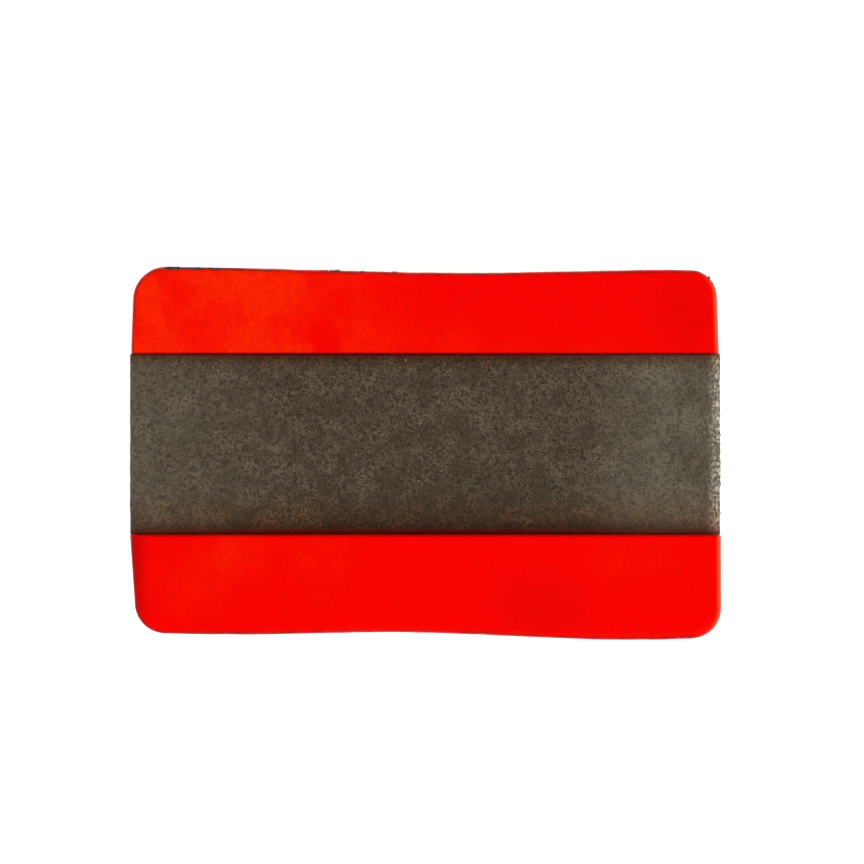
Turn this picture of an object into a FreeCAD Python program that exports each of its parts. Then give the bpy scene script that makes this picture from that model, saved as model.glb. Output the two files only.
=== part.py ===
"""Block-type welding magnet holder: a clamped sandwich of two steel pole plates and ferrite bars.

Two thick red-coated pole plates stand either side of a magnet stack. The stack is an upper and a
lower ferrite bar, both magnetised across the block, bedded in resin on an aluminium spacer bar.
Stainless countersunk screws pass through the rear plate and the spacer bar into blind tapped holes
in the thicker front plate, so the brittle ferrite is never clamped. The pole faces stand proud of
the ferrite at the top and at the bottom, and both ends of the sandwich hold work.

Frame: +X runs along the block, +Y points at the rear (screw head) plate, +Z is up. The origin is the
centre of the whole block's box, on the surface that it rests on. All sizes are in millimetres.
"""

import FreeCAD
import Part

import math
import os

# Overall block
BAR_LENGTH = 50.35       # the ferrite bars' length, which the plates' ends nearly match
BLOCK_HEIGHT = 25.0
MAGNET_GAP = 15.4        # clear width between the pole plates' inner faces
FACE_RECESS = 1.6        # how far the ferrite lies inside the pole faces

# Pole plates: the thickness at a point where nothing is added, and the outer side's shape, as
# (place along the length from -1 to 1, thickness added there).
REAR_PLATE = 7.2
REAR_OUTLINE = ((-1.0, 0.15), (-0.55, 0.0), (0.2, -0.36), (0.75, -0.12), (1.0, -0.12))
FRONT_PLATE = 8.5
FRONT_OUTLINE = ((-1.0, -0.22), (-0.6, -0.02), (-0.12, -0.21), (0.7, 0.44), (1.0, 0.2))
# How far a plate's left and right ends stand past the ferrite's, and lean in at the outer side.
REAR_ENDS = (-0.2, -0.25)
REAR_LEAN = (0.26, 0.25)
FRONT_ENDS = (-0.11, -0.09)
FRONT_LEAN = (0.56, -0.04)
# Radii of a plate's left and right outer corners
REAR_CORNERS = (2.8, 2.3)
FRONT_CORNERS = (2.6, 2.6)
RIM_RADIUS = 0.6
INNER_EDGE_BREAK = 0.1

# Magnet stack
BOND_FILM = 0.1          # resin between a ferrite bar and each face next to it
FILM_SETBACK = 0.05      # how far the resin stays below the ferrite's chamfer and inside its ends
FERRITE_CHAMFER = 0.1
SPACER_HEIGHT = 7.0
SPACER_SETBACK = 0.4     # how far the spacer bar's ends lie inside the ferrite's
SPACER_CHAMFER = 0.3

# Clamp screws: M4, countersunk, with a hexagon socket
SCREW_COUNT = 3
SCREW_END_DISTANCE = 8.5
SCREW_DIAMETER = 4.0
SCREW_CLEARANCE = 0.25   # radial, in the plain holes
THREAD_CLEARANCE = 0.02  # radial, between a screw and the wall of its tapped hole
HEAD_DIAMETER = 8.0
HEAD_RIM = 0.3           # straight rim above the head's 90 degree cone
HEAD_CLEARANCE = 0.12    # radial, between the head's rim and its counterbore
HEAD_SINK = 1.4          # from the rear plate's waist to the top of the heads
SOCKET_ACROSS_FLATS = 2.5
SOCKET_DEPTH = 1.6
THREAD_ENGAGEMENT = 4.3
TAPPED_RUNOUT = 0.8      # tapped hole's depth past the screw's tip
SCREW_TIP_CHAMFER = 0.5
DRILL_POINT_ANGLE = 118.0

CUT_OVERRUN = 2.0        # how far a cutting tool runs past the face it enters
SAME_PLACE = 0.01        # edges nearer than this to a plane lie in it

# Places that follow from the sizes above. Y is counted from the middle of the gap.
GAP_FACE = MAGNET_GAP / 2
FERRITE_SIDE = GAP_FACE - BOND_FILM
MID_HEIGHT = BLOCK_HEIGHT / 2
SPACER_TOP = MID_HEIGHT + SPACER_HEIGHT / 2
FERRITE_BED = SPACER_TOP + BOND_FILM
FERRITE_FACE = BLOCK_HEIGHT - FACE_RECESS
FERRITE_END = BAR_LENGTH / 2
SPACER_END = FERRITE_END - SPACER_SETBACK
REAR_WAIST = REAR_PLATE + min(added for place, added in REAR_OUTLINE)
SCREW_RADIUS = SCREW_DIAMETER / 2
HEAD_RADIUS = HEAD_DIAMETER / 2
BORE_RADIUS = SCREW_RADIUS + SCREW_CLEARANCE
HEAD_TOP = GAP_FACE + REAR_WAIST - HEAD_SINK
CONE_TOP = HEAD_TOP - HEAD_RIM
SCREW_TIP = -GAP_FACE - THREAD_ENGAGEMENT


def point(x, y, z=0.0):
    return FreeCAD.Vector(x, y, z)


def box(x0, x1, y0, y1, z0, z1):
    return Part.makeBox(x1 - x0, y1 - y0, z1 - z0, point(x0, y0, z0))


def cylinder_y(x, radius, y0, y1):
    """A cylinder along Y at mid height, from y0 up to y1."""
    return Part.makeCylinder(radius, y1 - y0, point(x, y0, MID_HEIGHT), point(0, 1))


def cone_y(x, radius0, radius1, y0, y1):
    """A cone along Y at mid height, whose radius is radius0 at y0 and radius1 at y1."""
    return Part.makeCone(radius0, radius1, y1 - y0, point(x, y0, MID_HEIGHT), point(0, 1))


def screw_places():
    """X of each clamp screw, evenly spread between the two end ones."""
    reach = FERRITE_END - SCREW_END_DISTANCE
    return [reach * (2 * i / (SCREW_COUNT - 1) - 1) for i in range(SCREW_COUNT)]


def plate_blank(side, thickness, outline, ends, lean, corners):
    """A pole plate before drilling. side is 1 for the rear plate and -1 for the front one."""
    inner = side * GAP_FACE
    left, right = -FERRITE_END - ends[0], FERRITE_END + ends[1]
    outer_left, outer_right = left + lean[0], right - lean[1]
    middle, reach = (outer_left + outer_right) / 2, (outer_right - outer_left) / 2
    outer = [point(middle + place * reach, inner + side * (thickness + added)) for place, added in outline]
    wavy_side = Part.BSplineCurve()
    wavy_side.interpolate(outer)
    inner_left, inner_right = point(left, inner), point(right, inner)
    wire = Part.Wire([
        Part.makeLine(inner_left, inner_right),
        Part.makeLine(inner_right, outer[-1]),
        wavy_side.toShape().reversed(),
        Part.makeLine(outer[0], inner_left),
    ])
    return ease_edges(Part.Face(wire).extrude(point(0, 0, BLOCK_HEIGHT)), inner, corners)


def ease_edges(plate, inner, corners):
    """Rounds the outer corners and both pole faces' rims, and breaks their inner edges."""
    def outer_edges(rises):
        """The edges away from the inner face that stand upright, or the ones that lie flat."""
        outer = [e for e in plate.Edges if not on_inner_face(e)]
        return [e for e in outer if (e.BoundBox.ZLength > SAME_PLACE) == rises]

    def on_inner_face(edge):
        return edge.BoundBox.YLength < SAME_PLACE and abs(edge.BoundBox.Center.y - inner) < SAME_PLACE

    for radius, side in zip(corners, (-1, 1)):
        plate = plate.makeFillet(radius, [e for e in outer_edges(True) if e.BoundBox.Center.x * side > 0])
    plate = plate.makeFillet(RIM_RADIUS, outer_edges(False))
    flat_inner = [e for e in plate.Edges if on_inner_face(e) and e.BoundBox.ZLength < SAME_PLACE]
    return plate.makeChamfer(INNER_EDGE_BREAK, flat_inner)


def rear_pole_plate():
    """The thinner plate, with a clearance hole, countersink and counterbore for each screw."""
    plate = plate_blank(1, REAR_PLATE, REAR_OUTLINE, REAR_ENDS, REAR_LEAN, REAR_CORNERS)
    cone_bottom = CONE_TOP - (HEAD_RADIUS - BORE_RADIUS)
    outside = GAP_FACE + REAR_PLATE + CUT_OVERRUN
    for x in screw_places():
        plate = plate.cut(cylinder_y(x, BORE_RADIUS, GAP_FACE - CUT_OVERRUN, outside))
        plate = plate.cut(cone_y(x, BORE_RADIUS, HEAD_RADIUS, cone_bottom, CONE_TOP))
        plate = plate.cut(cylinder_y(x, HEAD_RADIUS + HEAD_CLEARANCE, CONE_TOP, outside))
    return plate


def front_pole_plate():
    """The thicker plate, with a blind tapped hole for each screw, ending in a drill point."""
    plate = plate_blank(-1, FRONT_PLATE, FRONT_OUTLINE, FRONT_ENDS, FRONT_LEAN, FRONT_CORNERS)
    wall = SCREW_RADIUS + THREAD_CLEARANCE
    floor = SCREW_TIP - TAPPED_RUNOUT
    point_depth = wall / math.tan(math.radians(DRILL_POINT_ANGLE / 2))
    for x in screw_places():
        plate = plate.cut(cylinder_y(x, wall, floor, -GAP_FACE + CUT_OVERRUN))
        plate = plate.cut(cone_y(x, 0, wall, floor - point_depth, floor))
    return plate


def turned_under(upper_piece):
    """The lower half's copy of an upper piece, turned about the block's long middle axis."""
    lower_piece = upper_piece.copy()
    lower_piece.rotate(point(0, 0, MID_HEIGHT), point(1, 0), 180)
    return lower_piece


def ferrite_bar():
    """The upper sintered bar, chamfered at its face and ends but not at its bed."""
    bar = box(-FERRITE_END, FERRITE_END, -FERRITE_SIDE, FERRITE_SIDE, FERRITE_BED, FERRITE_FACE)
    exposed = [e for e in bar.Edges if e.BoundBox.ZMax > FERRITE_FACE - SAME_PLACE]
    return bar.makeChamfer(FERRITE_CHAMFER, exposed)


def bond_film(side):
    """Cured resin between the upper ferrite bar and the pole plate on that side."""
    end = FERRITE_END - FILM_SETBACK
    y0, y1 = sorted((side * FERRITE_SIDE, side * GAP_FACE))
    return box(-end, end, y0, y1, SPACER_TOP, FERRITE_FACE - FERRITE_CHAMFER - FILM_SETBACK)


def bed_film():
    """Cured resin between the upper ferrite bar and the spacer bar."""
    end = SPACER_END - SPACER_CHAMFER - FILM_SETBACK
    return box(-end, end, -FERRITE_SIDE, FERRITE_SIDE, SPACER_TOP, FERRITE_BED)


def spacer_bar():
    """The aluminium bar that sets the gap between the plates, cross-drilled for the screws."""
    bar = box(-SPACER_END, SPACER_END, -GAP_FACE, GAP_FACE, MID_HEIGHT - SPACER_HEIGHT / 2, SPACER_TOP)
    bar = bar.makeChamfer(SPACER_CHAMFER, [e for e in bar.Edges if e.BoundBox.XLength < SAME_PLACE])
    for x in screw_places():
        bar = bar.cut(cylinder_y(x, BORE_RADIUS, -GAP_FACE - CUT_OVERRUN, GAP_FACE + CUT_OVERRUN))
    return bar


def clamp_screw(x):
    """A countersunk screw, its head seated in the rear plate and its tip in the front one."""
    neck = CONE_TOP - (HEAD_RADIUS - SCREW_RADIUS)
    tip_end = SCREW_TIP + SCREW_TIP_CHAMFER
    screw = cylinder_y(x, HEAD_RADIUS, CONE_TOP, HEAD_TOP)
    screw = screw.fuse(cone_y(x, SCREW_RADIUS, HEAD_RADIUS, neck, CONE_TOP))
    screw = screw.fuse(cylinder_y(x, SCREW_RADIUS, tip_end, neck))
    screw = screw.fuse(cone_y(x, SCREW_RADIUS - SCREW_TIP_CHAMFER, SCREW_RADIUS, SCREW_TIP, tip_end))
    return screw.cut(hex_socket(x)).removeSplitter()


def hex_socket(x):
    """The hexagonal pocket in a screw's head."""
    corner_radius = SOCKET_ACROSS_FLATS / 2 / math.cos(math.radians(30))
    corners = []
    for i in range(7):
        turn = math.radians(60 * i)
        across, up = corner_radius * math.cos(turn), corner_radius * math.sin(turn)
        corners.append(point(x + across, HEAD_TOP - SOCKET_DEPTH, MID_HEIGHT + up))
    return Part.Face(Part.makePolygon(corners)).extrude(point(0, SOCKET_DEPTH + CUT_OVERRUN))


def build():
    """Every node's shape by the node's name, with the middle of the gap at Y = 0."""
    uppers = {
        "ferrite_bar": ferrite_bar(),
        "bed_film": bed_film(),
        "front_bond_film": bond_film(-1),
        "rear_bond_film": bond_film(1),
    }
    shapes = {
        "front_pole_plate": front_pole_plate(),
        "rear_pole_plate": rear_pole_plate(),
        "spacer_bar": spacer_bar(),
        "lower_ferrite_bar": turned_under(uppers["ferrite_bar"]),
        "lower_bed_film": turned_under(uppers["bed_film"]),
        "lower_front_bond_film": turned_under(uppers["rear_bond_film"]),
        "lower_rear_bond_film": turned_under(uppers["front_bond_film"]),
    }
    for name, shape in uppers.items():
        shapes["upper_" + name] = shape
    for i, x in enumerate(screw_places()):
        shapes[f"clamp_screw_{i + 1}"] = clamp_screw(x)
    return shapes


def centre(shapes):
    """Moves all the pieces so that the origin is the centre of their box, on its bottom."""
    whole = Part.makeCompound(list(shapes.values())).optimalBoundingBox(False, False)
    for shape in shapes.values():
        shape.translate(point(-whole.Center.x, -whole.Center.y, -whole.ZMin))


os.makedirs("parts", exist_ok=True)
pieces = build()
centre(pieces)
for name, shape in pieces.items():
    shape.exportStep("parts/" + name + ".step")
    print(f"{name:24s} solids {len(shape.Solids)} valid {shape.isValid()} volume {shape.Volume:9.2f}")
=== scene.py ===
import math
import random

import bmesh
import bpy
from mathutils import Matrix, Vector, noise


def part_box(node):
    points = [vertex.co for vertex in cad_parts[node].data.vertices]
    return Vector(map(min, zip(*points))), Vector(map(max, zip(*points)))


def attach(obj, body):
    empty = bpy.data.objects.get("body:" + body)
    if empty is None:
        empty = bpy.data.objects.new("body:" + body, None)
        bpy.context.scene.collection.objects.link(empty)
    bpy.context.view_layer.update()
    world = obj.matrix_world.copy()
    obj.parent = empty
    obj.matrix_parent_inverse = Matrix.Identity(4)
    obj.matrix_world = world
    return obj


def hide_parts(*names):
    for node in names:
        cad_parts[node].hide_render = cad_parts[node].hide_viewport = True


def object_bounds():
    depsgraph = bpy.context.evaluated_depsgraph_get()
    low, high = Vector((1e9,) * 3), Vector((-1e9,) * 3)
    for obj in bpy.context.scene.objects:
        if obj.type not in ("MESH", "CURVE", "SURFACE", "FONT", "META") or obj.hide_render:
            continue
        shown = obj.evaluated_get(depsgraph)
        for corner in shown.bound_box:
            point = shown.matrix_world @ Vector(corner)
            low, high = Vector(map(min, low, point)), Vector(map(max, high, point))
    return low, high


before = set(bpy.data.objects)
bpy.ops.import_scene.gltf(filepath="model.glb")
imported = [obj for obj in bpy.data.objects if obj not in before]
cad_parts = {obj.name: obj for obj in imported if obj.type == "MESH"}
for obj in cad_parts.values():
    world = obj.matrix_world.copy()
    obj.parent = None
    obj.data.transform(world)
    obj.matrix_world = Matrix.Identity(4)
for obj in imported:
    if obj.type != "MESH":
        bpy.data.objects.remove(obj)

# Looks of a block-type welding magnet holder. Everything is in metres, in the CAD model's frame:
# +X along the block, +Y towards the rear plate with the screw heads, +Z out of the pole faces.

cad_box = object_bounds()

MM = 0.001
BODY = "root"

# Places from the frame
FERRITE_LOW, FERRITE_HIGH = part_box("upper_ferrite_bar")
FRONT_LOW, FRONT_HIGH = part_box("front_pole_plate")
REAR_LOW, REAR_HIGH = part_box("rear_pole_plate")
BLOCK_LOW, BLOCK_HIGH = Vector(cad_box[0]), Vector(cad_box[1])
MID_HEIGHT = (BLOCK_LOW.z + BLOCK_HIGH.z) / 2
GAP_CENTRE = (FERRITE_LOW + FERRITE_HIGH) / 2

# Camera: straight above, with the block a little left of and below the middle of the view
VIEW_WIDTH = 73.2 * MM
CAMERA_DISTANCE = 300 * MM
CAMERA_AIM = Vector((0.565 * MM, 1.02 * MM, 0))


# ---------------------------------------------------------------- geometry helpers

def new_object(name, mesh):
    obj = bpy.data.objects.new(name, mesh)
    bpy.context.collection.objects.link(obj)
    return obj


def finish_piece(obj, material, slot, *nodes):
    """Gives a piece its material and its place in the frame, and hides the CAD nodes it stands for."""
    obj.data.materials.clear()
    obj.data.materials.append(material)
    obj.data.shade_smooth()
    obj.data.set_sharp_from_angle(angle=math.radians(40))
    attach(obj, BODY)
    if nodes:
        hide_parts(*nodes)
    return obj


def refined(name, node, depth):
    """A closed copy of a CAD node in a new object, evenly and finely divided, with its sharp edges kept."""
    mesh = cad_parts[node].data.copy()
    work = bmesh.new()
    work.from_mesh(mesh)
    bmesh.ops.remove_doubles(work, verts=work.verts, dist=0.0001 * MM)
    work.to_mesh(mesh)
    work.free()
    coarse = new_object(name + "_coarse", mesh)
    remesh = coarse.modifiers.new("divide", "REMESH")
    remesh.mode = "SHARP"
    remesh.octree_depth = depth
    remesh.scale = 0.95
    remesh.use_remove_disconnected = False
    evaluated = coarse.evaluated_get(bpy.context.evaluated_depsgraph_get())
    fine = bpy.data.meshes.new_from_object(evaluated)
    bpy.data.objects.remove(coarse)
    if "sharp_face" in fine.attributes:
        fine.attributes.remove(fine.attributes["sharp_face"])
    return new_object(name, fine)


def displace(obj, shift):
    """Moves every vertex by shift(place, normal)."""
    mesh = obj.data
    normals = [v.normal.copy() for v in mesh.vertices]
    for vertex, normal in zip(mesh.vertices, normals):
        vertex.co += shift(vertex.co, normal)
    mesh.update()


def waviness(place, size, seed):
    """Smooth noise from about -1 to 1 whose bumps are about size across."""
    return noise.noise(place / size + Vector((seed, 2 * seed, 3 * seed)))


# ---------------------------------------------------------------- material helpers

class Surface:
    """A Principled material being built. Its textures take places and sizes in millimetres."""

    def __init__(self, name, **sockets):
        self.material = bpy.data.materials.new(name)
        self.material.use_nodes = True
        self.tree = self.material.node_tree
        self.shader = self.tree.nodes["Principled BSDF"]
        for socket, value in sockets.items():
            self.shader.inputs[socket.replace("_", " ")].default_value = value
        coordinates = self.add("ShaderNodeTexCoord")
        self.normal = coordinates.outputs["Normal"]
        scale = self.add("ShaderNodeVectorMath", operation="SCALE")
        scale.inputs["Scale"].default_value = 1 / MM
        self.link(coordinates.outputs["Object"], scale.inputs[0])
        self.place = scale.outputs[0]
        self.top_bump = None

    def add(self, kind, **settings):
        node = self.tree.nodes.new(kind)
        for setting, value in settings.items():
            setattr(node, setting, value)
        return node

    def link(self, output, target):
        self.tree.links.new(output, target)

    def feed(self, target, value):
        """Sets a socket to a number or colour, or links an output to it."""
        if isinstance(value, bpy.types.NodeSocket):
            self.link(value, target)
        else:
            target.default_value = value

    def axes(self, vector):
        node = self.add("ShaderNodeSeparateXYZ")
        self.link(vector, node.inputs[0])
        return node.outputs[0], node.outputs[1], node.outputs[2]

    def maths(self, operation, first, second=0.0):
        node = self.add("ShaderNodeMath", operation=operation)
        self.feed(node.inputs[0], first)
        self.feed(node.inputs[1], second)
        return node.outputs[0]

    def turned(self, shift, stretch=(1, 1, 1)):
        """The place for a texture: stretched, shifted, and turned so that no face lies along its grid."""
        node = self.add("ShaderNodeMapping")
        self.link(self.place, node.inputs["Vector"])
        node.inputs["Scale"].default_value = stretch
        node.inputs["Rotation"].default_value = (0.6, 0.4, 0.9)
        node.inputs["Location"].default_value = (shift, shift / 2, shift / 3)
        return node.outputs[0]

    def noise(self, size, detail=2.0, roughness=0.5, stretch=(1, 1, 1), shift=0.0):
        """Noise from 0 to 1, with features about size millimetres across."""
        node = self.add("ShaderNodeTexNoise")
        self.link(self.turned(shift, stretch), node.inputs["Vector"])
        node.inputs["Scale"].default_value = 1 / size
        node.inputs["Detail"].default_value = detail
        node.inputs["Roughness"].default_value = roughness
        return node.outputs[0]

    def grains(self, size, randomness=1.0, shift=0.0):
        """(distance to the nearest grain's centre, a random value per grain)."""
        node = self.add("ShaderNodeTexVoronoi")
        self.link(self.turned(shift), node.inputs["Vector"])
        node.inputs["Scale"].default_value = 1 / size
        node.inputs["Randomness"].default_value = randomness
        red = self.add("ShaderNodeSeparateColor")
        self.link(node.outputs["Color"], red.inputs[0])
        return node.outputs["Distance"], red.outputs[0]

    def step(self, value, start, end, low=0.0, high=1.0):
        """low where value is at start, smoothly going to high at end."""
        node = self.add("ShaderNodeMapRange", interpolation_type="SMOOTHSTEP")
        self.feed(node.inputs["Value"], value)
        node.inputs["From Min"].default_value = start
        node.inputs["From Max"].default_value = end
        node.inputs["To Min"].default_value = low
        node.inputs["To Max"].default_value = high
        return node.outputs[0]

    def patch(self, x, y, half_length, half_width):
        """An uneven oval seen from above: 1 in its middle at (x, y), fading to 0 around it."""
        offset = self.add("ShaderNodeVectorMath", operation="SUBTRACT")
        self.link(self.place, offset.inputs[0])
        offset.inputs[1].default_value = (x, y, 0)
        scaled = self.add("ShaderNodeVectorMath", operation="MULTIPLY")
        self.link(offset.outputs[0], scaled.inputs[0])
        scaled.inputs[1].default_value = (1 / half_length, 1 / half_width, 0)
        away = self.add("ShaderNodeVectorMath", operation="LENGTH")
        self.link(scaled.outputs[0], away.inputs[0])
        ragged = self.maths("ADD", away.outputs["Value"], self.noise(2.5, detail=4, roughness=0.6, shift=x))
        return self.step(ragged, 1.7, 0.7)

    def mix(self, share, first, second, blend="MIX"):
        """A colour between first and second, or between first and the two blended."""
        node = self.add("ShaderNodeMix", data_type="RGBA", blend_type=blend)
        self.feed(node.inputs[0], share)
        self.feed(node.inputs[6], first)
        self.feed(node.inputs[7], second)
        return node.outputs[2]

    def times(self, *values):
        product = values[0]
        for value in values[1:]:
            product = self.maths("MULTIPLY", product, value)
        return product

    def bump(self, height, depth, strength=1.0):
        """Adds relief depth millimetres deep."""
        node = self.add("ShaderNodeBump")
        node.inputs["Strength"].default_value = strength
        node.inputs["Distance"].default_value = depth * MM
        self.link(height, node.inputs["Height"])
        if self.top_bump is not None:
            self.link(self.top_bump, node.inputs["Normal"])
        self.top_bump = node.outputs[0]
        self.link(self.top_bump, self.shader.inputs["Normal"])

    def rims(self):
        """0 on flat faces and upright corners, rising to 0.3 on the edges around the top and the bottom."""
        upward = self.maths("ABSOLUTE", self.axes(self.normal)[2])
        sideways = self.maths("SQRT", self.maths("SUBTRACT", 1.0, self.times(upward, upward)))
        return self.maths("SUBTRACT", 1.0, self.maths("MAXIMUM", upward, sideways))

    def colour(self, value):
        self.feed(self.shader.inputs["Base Color"], value)

    def rough(self, value):
        self.feed(self.shader.inputs["Roughness"], value)


# ---------------------------------------------------------------- materials

def near_walls(surface, y, front_reach, rear_reach):
    """1 at the plates' inner faces, falling to 0 at front_reach or rear_reach millimetres from them."""
    shares = []
    for face, reach in ((FRONT_HIGH, front_reach), (REAR_LOW, rear_reach)):
        distance = surface.maths("ABSOLUTE", surface.maths("SUBTRACT", y, face.y / MM))
        shares.append(surface.step(distance, reach, 0))
    return surface.maths("MAXIMUM", *shares)


def thin_share(coat, x, on_rear, fine):
    """How thin, and so how orange, the coat is: most at the left of the rear plate, and in patches."""
    # Each patch is x, y, half length, half width and amount
    thicker_patches = (
        (-6.8, 13, 1.4, 2.5, 0.6), (-8.6, 9.5, 1.8, 3, 0.8),
        (-20.5, 13.6, 2, 1.6, 0.65), (-19.8, 9.6, 1.5, 3, 0.65),
    )
    thinner_patches = (
        (2, 9.5, 7, 2.5, 0.22), (13, 8.5, 8, 1.5, 0.15),
        (-16, -8.5, 3.5, 3, 0.5), (-20, -11, 4, 4, 0.25), (-9, -9, 3, 4, 0.25), (17, -9, 6, 2, 0.15),
    )
    thin = coat.times(coat.step(x, 2, -15), on_rear)
    for *oval, amount in thicker_patches:
        thin = coat.times(thin, coat.step(coat.patch(*oval), 0, 1, 1, 1 - amount))
    for *oval, amount in thinner_patches:
        thin = coat.maths("ADD", thin, coat.times(coat.patch(*oval), amount))
    blotches = coat.step(coat.noise(3.4, detail=3, roughness=0.6, shift=41), 0.38, 0.62, 0.36, 0.98)
    return coat.times(thin, blotches, coat.step(fine, 0, 1, 0.84, 1.16))


def dull_share(coat, fine):
    """Where the coat is duller: two broad patches, and a little in its fine texture."""
    patches = coat.maths("MAXIMUM", coat.patch(9.5, -13, 5, 3.5), coat.patch(22, 12, 3.5, 4))
    return coat.maths("ADD", coat.times(patches, 0.3), coat.times(coat.step(fine, 1, 0), 0.18))


def painted_shade_share(coat, x, y, on_rear):
    """Painted shade: the coat is darker at the front plate's left end, and along the plates' inner edges,
    where they turn away from the light.
    """
    left_end_shade = coat.times(coat.step(x, FRONT_LOW.x / MM + 2.0, FRONT_LOW.x / MM), coat.step(on_rear, 1, 0))
    inner_edge_shade = near_walls(coat, y, 0.3, 0.15)
    return coat.maths("MAXIMUM", coat.times(left_end_shade, 0.55), coat.times(inner_edge_shade, 0.65))


def red_coat():
    """Satin red powder coat: oranger where it is thin, duller in places, and chipped along the edges, with
    painted shade at the front plate's left end, along the inner edges and on the rims, and a painted
    highlight on the rims that face right.
    """
    coat = Surface("red_powder_coat", Specular_IOR_Level=0.25, Specular_Tint=(1.0, 0.035, 0.01, 1))
    x, y, _ = coat.axes(coat.place)
    on_rear = coat.step(y, -1, 1)
    fine = coat.step(coat.noise(0.45, detail=3, roughness=0.7, stretch=(1, 0.6, 1), shift=13), 0.3, 0.7)
    thin = thin_share(coat, x, on_rear, fine)
    paint = coat.mix(thin, (0.67, 0.0003, 0.0003, 1), (0.70, 0.0128, 0.0006, 1))
    paint = coat.mix(dull_share(coat, fine), paint, (0.46, 0.0006, 0.0004, 1))
    # painted shade at the front plate's left end and along the plates' inner edges
    paint = coat.mix(painted_shade_share(coat, x, y, on_rear), paint, (0.16, 0.0008, 0.0004, 1))
    facing_right = coat.axes(coat.normal)[0]
    edge = coat.rims()
    # painted highlight: orange on the rims that face right, where the light from the right catches them
    right_rim_highlight = coat.times(coat.step(facing_right, 0.05, 1.1), coat.step(edge, 0, 0.1))
    paint = coat.mix(right_rim_highlight, paint, (0.72, 0.070, 0.015, 1))
    # painted shade: rims turned away from the light are darker, except where the right rims carry the
    # painted highlight
    uneven = coat.step(coat.noise(1.2, detail=4), 0.3, 0.7, 0.4, 0.9)
    rim_shade = coat.times(coat.step(edge, 0.08, 0.26), uneven, coat.step(right_rim_highlight, 0.3, 0))
    paint = coat.mix(rim_shade, paint, (0.20, 0.0012, 0.0006, 1))
    ragged = coat.maths("ADD", edge, coat.times(coat.noise(0.7, detail=5, roughness=0.65), 0.5))
    chipped = coat.step(ragged, 0.60, 0.625)
    coat.colour(coat.mix(chipped, paint, (0.09, 0.075, 0.065, 1)))
    coat.rough(coat.step(coat.noise(6, detail=4, roughness=0.6), 0.35, 0.68, 0.4, 0.5))
    coat.bump(coat.noise(0.9, detail=1.5), 0.02)
    coat.bump(coat.noise(0.16, detail=2), 0.004)
    coat.bump(chipped, -0.04)
    return coat.material


def grain_colour(bar, x, fine, medium):
    """Clean ferrite: dark grain, a little greener in places, and paler towards the ends."""
    tone = bar.maths("ADD", bar.times(fine, 0.85), bar.times(medium, 0.35))
    tone = bar.step(tone, 0.45, 0.80)
    base = bar.mix(tone, (0.0028, 0.0018, 0.0010, 1), (0.060, 0.040, 0.0245, 1))
    hue = bar.step(bar.noise(0.5, detail=3, shift=17), 0.4, 0.6)
    base = bar.mix(bar.times(hue, 0.35), base, (0.024, 0.024, 0.014, 1))
    broad = bar.step(bar.noise(4.5, detail=3, shift=11), 0.3, 0.7, 0.7, 1)
    paler = bar.maths("ADD", bar.step(x, -9, -30, 0, 0.66), bar.step(x, 12.5, 19.5, 0, 0.78))
    paler = bar.times(paler, bar.step(tone, 0, 1, 0.4, 1), broad)
    return bar.mix(paler, base, (0.112, 0.110, 0.083, 1))


def with_curls(bar, base):
    """Adds light and dark curls to the grain, small glints, and rare bright specks."""
    curls = bar.maths("SINE", bar.times(bar.noise(0.4, detail=2, roughness=0.6, shift=23), 15))
    curly = bar.step(bar.noise(1.8, detail=3, roughness=0.6, shift=43), 0.38, 0.62, 0.25, 1)
    base = bar.mix(bar.times(bar.step(curls, 0.4, 1), curly, 0.43), base, (0.15, 0.125, 0.085, 1))
    base = bar.mix(bar.times(bar.step(curls, -0.2, -1), curly, 0.38), base, (0.008, 0.005, 0.003, 1))
    distance, chance = bar.grains(0.22, shift=5)
    glint = bar.times(bar.step(distance, 0.45, 0.15), bar.step(chance, 0.92, 0.98))
    base = bar.mix(bar.times(glint, 0.5), base, (0.24, 0.21, 0.15, 1))
    far, rare = bar.grains(2.4, shift=2)
    speck = bar.times(bar.step(far, 0.055, 0.03), bar.step(rare, 0.9, 0.92))
    return bar.mix(speck, base, (0.4, 0.36, 0.3, 1))


def worn_and_highlit_share(bar, x, z):
    """Bright flakes where the right end of each working face is worn, painted brighter as a highlight where
    the light from the right glints on them.
    """
    right_end = FERRITE_HIGH.x / MM
    flakes = bar.step(bar.noise(0.3, detail=4, roughness=0.7, shift=37), 0.44, 0.6, 0.04, 1)
    from_middle = bar.maths("ABSOLUTE", bar.maths("SUBTRACT", z, MID_HEIGHT / MM))
    face = (FERRITE_HIGH.z - MID_HEIGHT) / MM
    worn_and_highlit = bar.times(bar.step(x, right_end - 1.3, right_end), flakes)
    return bar.times(worn_and_highlit, bar.step(from_middle, face - 1.8, face - 0.9))


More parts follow.
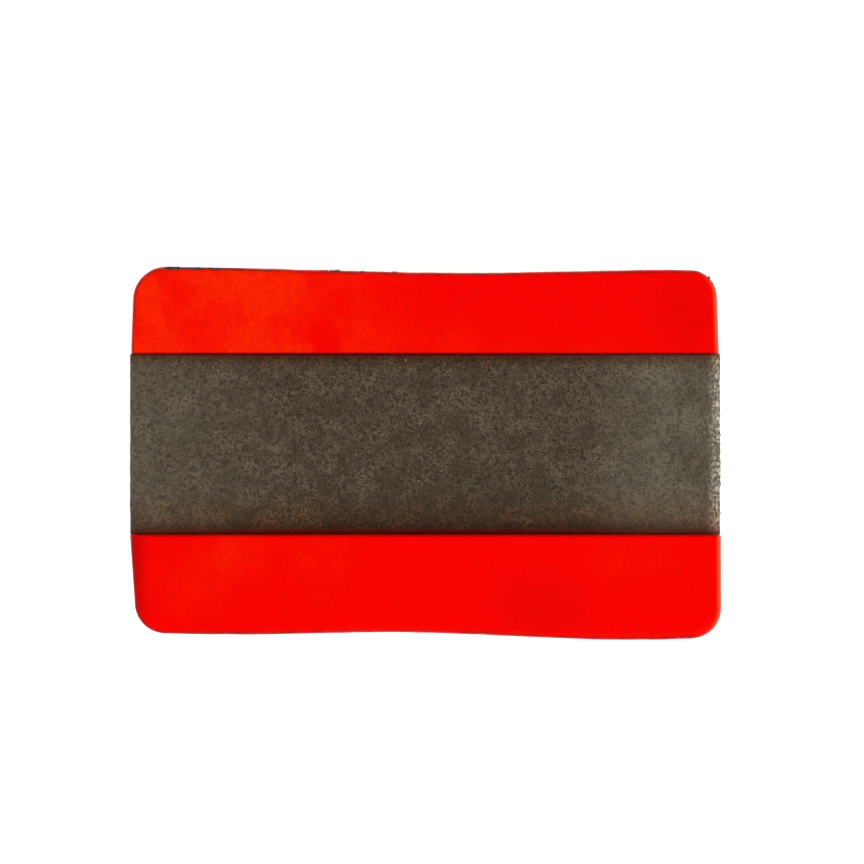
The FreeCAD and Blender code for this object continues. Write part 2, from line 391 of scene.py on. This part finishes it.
def ferrite():
    """Sintered ferrite: fine dark grain with small glints, dusted with red beside the plates, where painted
    red bounce light and painted shade are added, with a painted shade patch in the middle and a painted
    highlight on its worn right ends.
    """
    bar = Surface("sintered_ferrite", Specular_IOR_Level=0.3, Specular_Tint=(1.0, 0.78, 0.55, 1))
    x, y, z = bar.axes(bar.place)
    fine = bar.noise(0.2, detail=3, roughness=0.65)
    medium = bar.noise(0.55, detail=3, roughness=0.6, shift=3)
    base = with_curls(bar, grain_colour(bar, x, fine, medium))
    worn_and_highlit = worn_and_highlit_share(bar, x, z)
    # painted highlight on the worn right ends
    base = bar.mix(worn_and_highlit, base, (0.56, 0.53, 0.47, 1))
    cloud = bar.step(bar.noise(3.5, detail=4, roughness=0.6, shift=47), 0.3, 0.7)
    base = bar.mix(cloud, base, (0.70, 0.67, 0.63, 1), "MULTIPLY")
    # painted shade: the middle of the bar is darker towards the front plate
    base = bar.mix(bar.patch(0, -4.5, 17, 4.5), base, (0.80, 0.78, 0.78, 1), "MULTIPLY")
    # Beside the plates: red dust, with painted red bounce light and painted shade from the plates' walls,
    # strongest in the middle of the bar
    from_centre = bar.maths("ABSOLUTE", bar.maths("ADD", x, 3.0))
    stronger_in_middle = bar.step(from_centre, 8, 24, 1, 0.62)
    dust_and_bounce = bar.times(near_walls(bar, y, 4.6, 1.6), bar.step(medium, 0.3, 0.6, 0.8, 1.0), stronger_in_middle)
    base = bar.mix(dust_and_bounce, base, (1.06, 0.46, 0.25, 1), "MULTIPLY")
    # painted shade: a dark red line at the foot of each plate, with thicker red dust
    thick_dust_and_shade = bar.times(near_walls(bar, y, 0.8, 0.45), stronger_in_middle)
    bar.colour(bar.mix(thick_dust_and_shade, base, (0.10, 0.0025, 0.0008, 1)))
    dulled = bar.maths("MAXIMUM", thick_dust_and_shade, bar.times(dust_and_bounce, 0.4))
    bar.link(bar.step(dulled, 0, 1, 0.3, 0), bar.shader.inputs["Specular IOR Level"])
    bar.rough(bar.step(fine, 0.3, 0.7, 0.45, 0.65))
    bar.bump(medium, 0.03)
    bar.bump(fine, 0.025)
    bar.bump(bar.times(bar.noise(0.4, detail=4, roughness=0.65, shift=29), worn_and_highlit), 0.15)
    return bar.material


def resin():
    """Cured bonding resin, stained by the red coat."""
    film = Surface("bonding_resin", Roughness=0.4, Specular_IOR_Level=0.4)
    stain = film.step(film.noise(1.5, detail=3), 0.35, 0.65)
    film.colour(film.mix(stain, (0.12, 0.003, 0.002, 1), (0.26, 0.004, 0.003, 1)))
    film.bump(film.noise(0.4, detail=3), 0.03)
    return film.material


def milled_aluminium():
    bar = Surface("milled_aluminium", Metallic=1.0)
    lines = bar.noise(0.35, detail=4, roughness=0.6, stretch=(1, 0.04, 1))
    bar.colour(bar.mix(bar.step(lines, 0.3, 0.7), (0.26, 0.265, 0.27, 1), (0.46, 0.465, 0.47, 1)))
    bar.rough(bar.step(bar.noise(3, detail=3), 0.3, 0.7, 0.34, 0.5))
    bar.bump(lines, 0.02)
    return bar.material


def stainless():
    steel = Surface("stainless_steel", Metallic=1.0)
    smear = steel.noise(1.1, detail=4)
    steel.colour(steel.mix(steel.step(smear, 0.35, 0.7), (0.46, 0.45, 0.43, 1), (0.32, 0.31, 0.29, 1)))
    steel.rough(steel.step(smear, 0.3, 0.7, 0.24, 0.4))
    steel.bump(steel.noise(0.12, detail=2), 0.004)
    return steel.material


def filings_iron():
    iron = Surface("iron_filings", Metallic=0.6)
    flecks = iron.noise(0.15, detail=2)
    iron.colour(iron.mix(iron.step(flecks, 0.4, 0.6), (0.02, 0.018, 0.016, 1), (0.09, 0.08, 0.07, 1)))
    iron.rough(iron.step(flecks, 0.3, 0.7, 0.45, 0.7))
    return iron.material


# ---------------------------------------------------------------- pieces

def pole_plate(name, node, seed, material):
    """A pole plate whose coat has a slight orange peel, sags a little, and has dents along its rims."""
    dent_count = 26
    plate = refined(name, node, 8)
    low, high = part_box(node)
    outer = high.y if high.y > GAP_CENTRE.y + FERRITE_HIGH.y else low.y
    draw = random.Random(seed)
    dents = []
    for i in range(dent_count):
        place = Vector((draw.uniform(low.x, high.x), outer, draw.choice((low.z, high.z))))
        dents.append((place, draw.uniform(0.35, 0.8) * MM, draw.uniform(0.02, 0.07) * MM))

    def shift(place, normal):
        peel = 0.006 * waviness(place, 0.8 * MM, seed) + 0.012 * waviness(place, 4 * MM, seed + 1)
        dent = 0.0
        for spot, reach, depth in dents:
            away = (place - spot).length
            if away < 2 * reach:
                dent += depth * math.exp(-(away / reach) ** 2)
        return normal * (peel * MM - dent)

    displace(plate, shift)
    return finish_piece(plate, material, "pole_plate_coat", node)


def ferrite_bar(name, node, outward, seed, material):
    """A ferrite bar whose exposed end edges are chipped. outward is 1 if its working face looks up."""
    bar = refined(name, node, 8)
    low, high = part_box(node)
    face = high.z if outward > 0 else low.z
    middle = (low.x + high.x) / 2
    half = (high.x - low.x) / 2

    def chip(place, right):
        across = Vector((right * 9.0, place.y / MM, outward * 4.0 + seed))
        coarse, fine = noise.noise(across / 1.7), noise.noise(across / 0.5)
        if right < 0:
            return 0.2 * MM * max(0.6, 1 + coarse)
        return MM * max(0.25, 0.75 + 0.7 * coarse + 0.35 * fine)

    def shift(place, normal):
        right = 1 if place.x > middle else -1
        from_end = half - abs(place.x - middle)
        from_face = (face - place.z) * outward
        spare = chip(place, right) - from_end - from_face
        grain = 0.008 * waviness(place, 0.45 * MM, seed) + 0.012 * waviness(place, 2.5 * MM, seed + 4)
        move = normal * grain * MM
        if spare > 0:
            rough = 0.035 * MM * waviness(place, 0.6 * MM, seed + 9)
            move += Vector((-right, 0, -outward)) * (spare / 2 + rough)
        return move

    displace(bar, shift)
    return finish_piece(bar, material, "ferrite", node)


def turned_solid(name, rings, centre, segments):
    """A closed piece along Y made of rings of points. A ring is (y, radius as a function of the angle)."""
    mesh = bpy.data.meshes.new(name)
    work = bmesh.new()
    loops = []
    for y, radius in rings:
        loop = []
        for i in range(segments):
            turn = 2 * math.pi * i / segments
            across, up = radius(turn) * math.cos(turn), radius(turn) * math.sin(turn)
            loop.append(work.verts.new((centre.x + across, y, centre.z + up)))
        loops.append(loop)
    for lower, upper in zip(loops, loops[1:]):
        for i in range(segments):
            j = (i + 1) % segments
            work.faces.new((lower[i], lower[j], upper[j], upper[i]))
    for loop in (loops[0], loops[-1]):
        middle = sum((v.co for v in loop), Vector()) / segments
        hub = work.verts.new(middle)
        for i in range(segments):
            work.faces.new((hub, loop[i], loop[(i + 1) % segments]))
    bmesh.ops.recalc_face_normals(work, faces=work.faces)
    work.to_mesh(mesh)
    work.free()
    return new_object(name, mesh)


def clamp_screw(name, node, material):
    """A countersunk socket screw with a real thread on the part that the front plate holds."""
    low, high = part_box(node)
    centre = (low + high) / 2
    head_radius = (high.x - low.x) / 2
    shank_radius = head_radius / 2
    rim, pitch, thread_depth = 0.3 * MM, 0.7 * MM, 0.3 * MM
    across_flats, socket_depth, bevel = 2.5 * MM, 1.6 * MM, 0.12 * MM
    tip_chamfer, thread_length = 0.5 * MM, 9 * MM
    rows_per_pitch, segments = 8, 72

    def circle(radius):
        return lambda turn: radius

    def hexagon(flats):
        def reach(turn):
            off_flat = (turn + math.pi / 6) % (math.pi / 3) - math.pi / 6
            return flats / 2 / math.cos(off_flat)
        return reach

    def thread(y, depth):
        def reach(turn):
            along = ((y - low.y) / pitch - turn / (2 * math.pi)) % 1
            return shank_radius - depth * min(1.0, 2.6 * min(along, 1 - along))
        return reach

    cone_foot = high.y - rim - (head_radius - shank_radius)
    rings = [(high.y - socket_depth, hexagon(across_flats))]
    rings.append((high.y - bevel, hexagon(across_flats)))
    rings.append((high.y, hexagon(across_flats + 2 * bevel)))
    rings.append((high.y, circle((head_radius + across_flats / 2) / 2)))
    rings.append((high.y, circle(head_radius - bevel)))
    rings.append((high.y - bevel / 3, circle(head_radius - bevel / 3)))
    rings.append((high.y - bevel, circle(head_radius)))
    rings.append((high.y - rim, circle(head_radius)))
    rings.append((cone_foot, circle(shank_radius)))
    thread_top = low.y + thread_length
    rings.append((thread_top + pitch, circle(shank_radius)))
    rows = round((thread_length - tip_chamfer) / pitch * rows_per_pitch)
    for i in range(rows + 1):
        y = thread_top - i * (thread_top - low.y - tip_chamfer) / rows
        fade = min(1.0, i / rows_per_pitch)
        rings.append((y, thread(y, thread_depth * fade)))
    rings.append((low.y, circle(shank_radius - tip_chamfer)))
    screw = turned_solid(name, rings, centre, segments)
    return finish_piece(screw, material, "screw", node)


def spacer(name, node, material):
    """The spacer bar, with saw marks across its ends."""
    bar = refined(name, node, 7)
    low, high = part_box(node)

    def shift(place, normal):
        slant = (place.z + 0.12 * place.y) / (0.55 * MM)
        saw = 0.012 * math.sin(2 * math.pi * slant) if abs(normal.x) > 0.9 else 0.0
        return normal * MM * (saw + 0.006 * waviness(place, 1.5 * MM, 3))

    displace(bar, shift)
    return finish_piece(bar, material, "spacer", node)


def bond_film(name, node, outward, seed, material):
    """A film of resin between a plate and a ferrite bar, whose free edge is an uneven bead."""
    low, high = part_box(node)
    steps, across = 420, 6
    edge, foot = (high.z, low.z) if outward > 0 else (low.z, high.z)
    lift = 0.16 * MM
    mesh = bpy.data.meshes.new(name)
    work = bmesh.new()
    rows = []
    for i in range(steps + 1):
        x = low.x + (high.x - low.x) * i / steps
        wobble = 0.5 + 0.5 * noise.noise(Vector((x / MM / 1.3, seed, 0)))
        ripple = 0.5 + 0.5 * noise.noise(Vector((x / MM / 0.4, seed, 5)))
        tall = edge + outward * lift * (0.25 + 0.6 * wobble + 0.25 * ripple)
        row = [work.verts.new((x, low.y, foot)), work.verts.new((x, high.y, foot))]
        for j in range(across + 1):
            share = j / across
            crown = math.sin(math.pi * share) ** 0.6
            row.append(work.verts.new((x, high.y + (low.y - high.y) * share, edge + (tall - edge) * crown)))
        rows.append(row)
    around = len(rows[0])
    for first, second in zip(rows, rows[1:]):
        for j in range(around):
            k = (j + 1) % around
            work.faces.new((first[j], first[k], second[k], second[j]))
    work.faces.new(rows[0])
    work.faces.new(rows[-1])
    bmesh.ops.recalc_face_normals(work, faces=work.faces)
    work.to_mesh(mesh)
    work.free()
    return finish_piece(new_object(name, mesh), material, "bond_resin", node)


def filings(name, rear_plate, material):
    """Iron filings that cling to the rear plate's upper outer rim and to the right end of the ferrite."""
    draw = random.Random(5)
    mesh = bpy.data.meshes.new(name)
    work = bmesh.new()
    rim_radius, slice_width = 0.6 * MM, 0.4 * MM
    outline = {}
    for vertex in rear_plate.data.vertices:
        place = round(vertex.co.x / slice_width)
        outline[place] = max(outline.get(place, vertex.co.y), vertex.co.y)

    def rim_point(x, inset):
        """A point on the rounded rim at x, inset inside the plate's outline as it is seen from above."""
        drop = rim_radius - math.sqrt(rim_radius ** 2 - max(rim_radius - inset, 0) ** 2)
        return Vector((x, outline[round(x / slice_width)] - inset, BLOCK_HIGH.z - drop))

    def sliver(place, lean, length, width):
        """One filing: a thin closed spindle, standing on place and pointing along lean."""
        lean = lean.normalized()
        side = lean.orthogonal().normalized()
        other = lean.cross(side)
        foot = work.verts.new(place - lean * length * 0.3)
        tip = work.verts.new(place + lean * length * 0.7)
        sides = 5
        belt = []
        for i in range(sides):
            turn = 2 * math.pi * i / sides + draw.random()
            outward = side * math.cos(turn) + other * math.sin(turn)
            belt.append(work.verts.new(place + outward * width / 2))
        for i in range(sides):
            j = (i + 1) % sides
            work.faces.new((foot, belt[j], belt[i]))
            work.faces.new((tip, belt[i], belt[j]))

    def scatter(reach):
        return Vector((draw.uniform(-1, 1), draw.uniform(-1, 1), draw.uniform(-1, 1))) * reach

    def tuft(x0, x1, inset, lean, count, length):
        """Filings between x0 and x1, up to inset millimetres inside the outline."""
        for i in range(count):
            place = rim_point(draw.uniform(x0, x1) * MM, draw.uniform(0.05, inset) * MM)
            long, wide = length * draw.uniform(0.5, 1) * MM, draw.uniform(0.06, 0.13) * MM
            sliver(place, lean + scatter(0.7), long, wide)

    back = Vector((0, 1, 0.2))
    along = Vector((1, 0.15, 0.1))
    tuft(-22.0, -20.8, 0.25, back, 45, 0.35)
    tuft(-22.3, -19.0, 0.3, along, 90, 0.3)
    tuft(-19.5, -17.0, 0.2, along, 70, 0.25)
    tuft(-17.5, -15.4, 0.12, along, 40, 0.2)
    for x, count, length in (
        (-8.6, 6, 0.3), (-7.8, 10, 0.4), (-7.4, 5, 0.3), (-5.4, 5, 0.3), (-2.6, 7, 0.3), (-4.2, 4, 0.2),
    ):
        tuft(x - 0.2, x + 0.2, 0.12, back, count, length)
    tuft(23.9, 24.2, 0.3, Vector((1, 1, 0.2)), 6, 0.35)

    right = Vector((1, 0, 0.2))
    for y, count in ((-2.6, 12), (-0.8, 4), (1.4, 4), (3.1, 3), (-5.2, 6)):
        for i in range(count):
            sideways, depth = (y + draw.uniform(-0.15, 0.15)) * MM, draw.uniform(1.0, 1.5) * MM
            place = Vector((FERRITE_HIGH.x - 0.05 * MM, sideways, FERRITE_HIGH.z - depth))
            long, wide = draw.uniform(0.2, 0.45) * MM, draw.uniform(0.07, 0.14) * MM
            sliver(place, right + scatter(0.7), long, wide)
    bmesh.ops.recalc_face_normals(work, faces=work.faces)
    work.to_mesh(mesh)
    work.free()
    return finish_piece(new_object(name, mesh), material, "ferrite")


def build_block():
    coat, core, glue = red_coat(), ferrite(), resin()
    pole_plate("front_plate_coated", "front_pole_plate", 3, coat)
    rear_plate = pole_plate("rear_plate_coated", "rear_pole_plate", 8, coat)
    ferrite_bar("upper_ferrite_chipped", "upper_ferrite_bar", 1, 2, core)
    ferrite_bar("lower_ferrite_chipped", "lower_ferrite_bar", -1, 6, core)
    spacer("spacer_bar_milled", "spacer_bar", milled_aluminium())
    for level, outward in (("upper", 1), ("lower", -1)):
        for i, side in enumerate(("front", "rear")):
            node = f"{level}_{side}_bond_film"
            bond_film(node + "_bead", node, outward, 10 * i + outward, glue)
        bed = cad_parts[level + "_bed_film"]
        bed.data.materials.clear()
        bed.data.materials.append(glue)
    steel = stainless()
    for i in range(3):
        clamp_screw(f"threaded_screw_{i + 1}", f"clamp_screw_{i + 1}", steel)
    filings("clinging_filings", rear_plate, filings_iron())


# ---------------------------------------------------------------- stage

def build_floor():
    """A plain pale table top."""
    half = 1.5
    mesh = bpy.data.meshes.new("table_top")
    corners = [(-half, -half, 0), (half, -half, 0), (half, half, 0), (-half, half, 0)]
    mesh.from_pydata(corners, [], [(0, 1, 2, 3)])
    floor = new_object("table_top", mesh)
    white = bpy.data.materials.new("pale_table")
    white.use_nodes = True
    shader = white.node_tree.nodes["Principled BSDF"]
    shader.inputs["Base Color"].default_value = (0.9, 0.9, 0.9, 1)
    shader.inputs["Roughness"].default_value = 0.8
    shader.inputs["Specular IOR Level"].default_value = 0.1
    shader.inputs["Emission Color"].default_value = (1, 1, 1, 1)
    shader.inputs["Emission Strength"].default_value = 0.45
    mesh.materials.append(white)


def build_world():
    """Pale near the horizon and dimmer overhead."""
    world = bpy.data.worlds.new("studio")
    world.use_nodes = True
    bpy.context.scene.world = world
    tree = world.node_tree
    coordinates = tree.nodes.new("ShaderNodeTexCoord")
    split = tree.nodes.new("ShaderNodeSeparateXYZ")
    tree.links.new(coordinates.outputs["Generated"], split.inputs[0])
    height = tree.nodes.new("ShaderNodeMapRange")
    tree.links.new(split.outputs[2], height.inputs["Value"])
    height.inputs["From Min"].default_value = 0.0
    height.inputs["From Max"].default_value = 0.6
    height.inputs["To Min"].default_value = 0.5
    height.inputs["To Max"].default_value = 0.15
    tree.links.new(height.outputs[0], tree.nodes["Background"].inputs["Color"])


def softbox(name, place, size, power, colour=(1, 1, 1)):
    """A square area light at place, aimed at the block."""
    light = bpy.data.lights.new(name, "AREA")
    light.energy = power
    light.color = colour
    light.size = size
    obj = bpy.data.objects.new(name, light)
    bpy.context.collection.objects.link(obj)
    target = Vector((0, 0, MID_HEIGHT))
    obj.location = Vector(place)
    obj.rotation_euler = (target - obj.location).to_track_quat("-Z", "Y").to_euler()


def build_lights():
    softbox("front_key", (0.22, -0.38, 0.62), 0.35, 4.25)
    softbox("left_fill", (-0.42, 0.10, 0.60), 0.40, 2.5)
    softbox("rear_fill", (0.05, 0.40, 0.62), 0.35, 1.15)
    softbox("right_edge", (0.60, 0.02, 0.22), 0.15, 1.3, (1.0, 0.80, 0.52))


def build_camera():
    data = bpy.data.cameras.new("camera")
    data.sensor_width = 36.0
    data.lens = data.sensor_width * CAMERA_DISTANCE / VIEW_WIDTH
    data.clip_start = 0.01
    camera = bpy.data.objects.new("camera", data)
    bpy.context.collection.objects.link(camera)
    camera.location = Vector((GAP_CENTRE.x, GAP_CENTRE.y, BLOCK_HIGH.z + CAMERA_DISTANCE)) + CAMERA_AIM
    bpy.context.scene.camera = camera


build_block()
build_floor()
build_world()
build_lights()
build_camera()
bpy.context.scene.view_settings.view_transform = "Standard"
